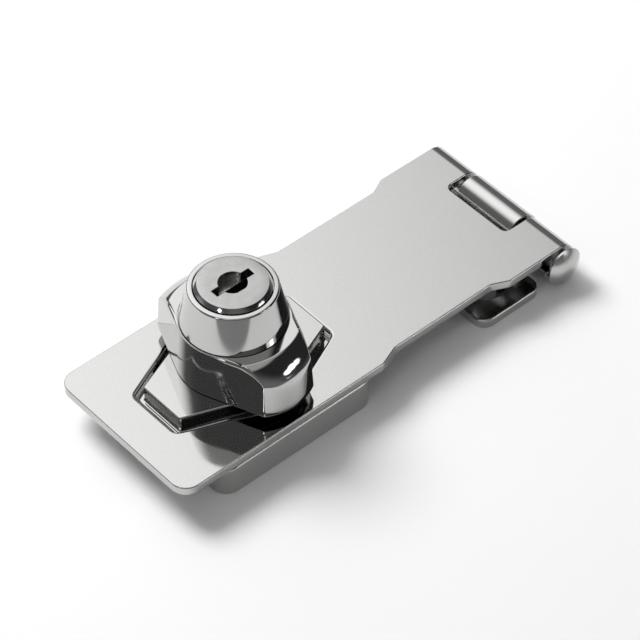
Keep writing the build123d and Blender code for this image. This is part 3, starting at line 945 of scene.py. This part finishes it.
def sky(patches, base):
    """World whose brightness goes by direction.

    Each patch is (azimuth from +X, elevation, half width, softness, strength), its angles in degrees.
    """
    world = bpy.data.worlds.new("studio")
    bpy.context.scene.world = world
    world.use_nodes = True
    tree = world.node_tree
    seen = node(tree, "ShaderNodeTexCoord").outputs["Generated"]
    value = base
    for azimuth, elevation, wide, soft, strength in patches:
        toward = heading(azimuth, elevation)
        near = node(tree, "ShaderNodeVectorMath", {0: seen, 1: toward}, operation="DOT_PRODUCT")
        share = node(tree, "ShaderNodeMapRange", {
            "Value": near.outputs["Value"], "From Min": math.cos(math.radians(wide + soft)),
            "From Max": math.cos(math.radians(max(0.0, wide - soft))), "To Min": 0.0, "To Max": 1.0},
            interpolation_type="SMOOTHSTEP")
        mix = node(tree, "ShaderNodeMix", {0: share.outputs[0], 2: value, 3: strength},
                   data_type="FLOAT")
        value = mix.outputs[0]
    background = tree.nodes["Background"]
    background.inputs["Strength"].default_value = 1.0
    tree.links.new(value, background.inputs["Color"])


def lamp(name, azimuth, elevation, distance, width, power):
    """Round soft lamp aimed at the object. Metal doesn't mirror it, only what it lights."""
    made = bpy.data.objects.new(name, bpy.data.lights.new(name, "AREA"))
    made.data.shape = "DISK"
    made.data.size = width
    made.data.energy = power
    made.location = LAMP_AIM + heading(azimuth, elevation) * distance
    made.rotation_euler = (LAMP_AIM - made.location).to_track_quat("-Z", "Y").to_euler()
    made.visible_glossy = False
    bpy.context.scene.collection.objects.link(made)


def camera():
    """Camera at the photograph's angle."""
    made = bpy.data.objects.new("camera", bpy.data.cameras.new("camera"))
    made.data.sensor_width = SENSOR
    made.data.lens = CAMERA_LENS
    made.data.clip_start = 0.01
    made.data.clip_end = 100.0
    made.location = CAMERA_PLACE
    made.rotation_euler = (CAMERA_AIM - CAMERA_PLACE).to_track_quat("-Z", "Y").to_euler()
    bpy.context.scene.collection.objects.link(made)
    bpy.context.scene.camera = made


def plain(node_name, material):
    """Gives a shown frame node its material."""
    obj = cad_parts[node_name]
    for place in obj.material_slots:
        place.material = material
    if not obj.material_slots:
        obj.data.materials.append(material)


# The lock in its studio

leaf_piece(metal("leaf_nickel", NICKEL, 0.07, dent_um=3.0))
plate_piece(metal("plate_nickel", NICKEL, 0.12))
housing_piece(metal("housing_nickel", NICKEL, 0.09))
pin_piece(metal("pin_nickel", NICKEL, 0.22))
knob_piece(metal("knob_nickel", NICKEL, 0.07))
plug_piece(metal("plug_nickel", PLUG_NICKEL, 0.27, rough_spread=0.15, cloud=2.0,
                 polished_from=PLUG_HEAD_R - PLUG_CHAMFER))

steel = metal("steel", STEEL, 0.32, cloud=3.0)
spring_steel = metal("spring_steel", SPRING_STEEL, 0.28, cloud=3.0)
brass = metal("wafer_brass", BRASS, 0.30, cloud=3.0)
for name in ("stop_pin", "spindle", "flat_washer", "locking_bolt"):
    plain(name, steel)
for name in ("spring_washer", "retaining_ring", "comb_spring"):
    plain(name, spring_steel)
for name in ("retainer_wafer", "wafer_1", "wafer_2", "wafer_3", "wafer_4"):
    plain(name, brass)

floor_piece()

# Dark and pale walls, the ceiling, the soft box that the leaf mirrors, a low one, and small reflectors
sky([
    (-35.0, 45.0, 42.0, 10.0, 0.03),
    (178.0, 42.0, 25.0, 10.0, 0.12),
    (87.0, 18.0, 14.0, 5.0, 0.10),
    (140.0, 6.0, 16.0, 6.0, 0.55),
    (30.0, 90.0, 29.0, 3.0, 0.50),
    (78.0, 47.0, 17.4, 17.4, 1.73),
    (57.0, 19.0, 9.0, 2.0, 1.4),
    (-169.0, 38.5, 3.5, 1.0, 9.0),
    (-148.0, 58.0, 7.0, 2.0, 1.3),
    (-64.0, 22.0, 4.5, 1.5, 3.0),
    (-56.0, 24.0, 5.0, 1.5, 5.0),
    (-48.0, 23.0, 4.5, 1.5, 3.0),
], 0.20)
lamp("key", 100.0, 49.0, 0.8, 0.40, 5.3)
camera()
bpy.context.scene.view_settings.view_transform = "Standard"
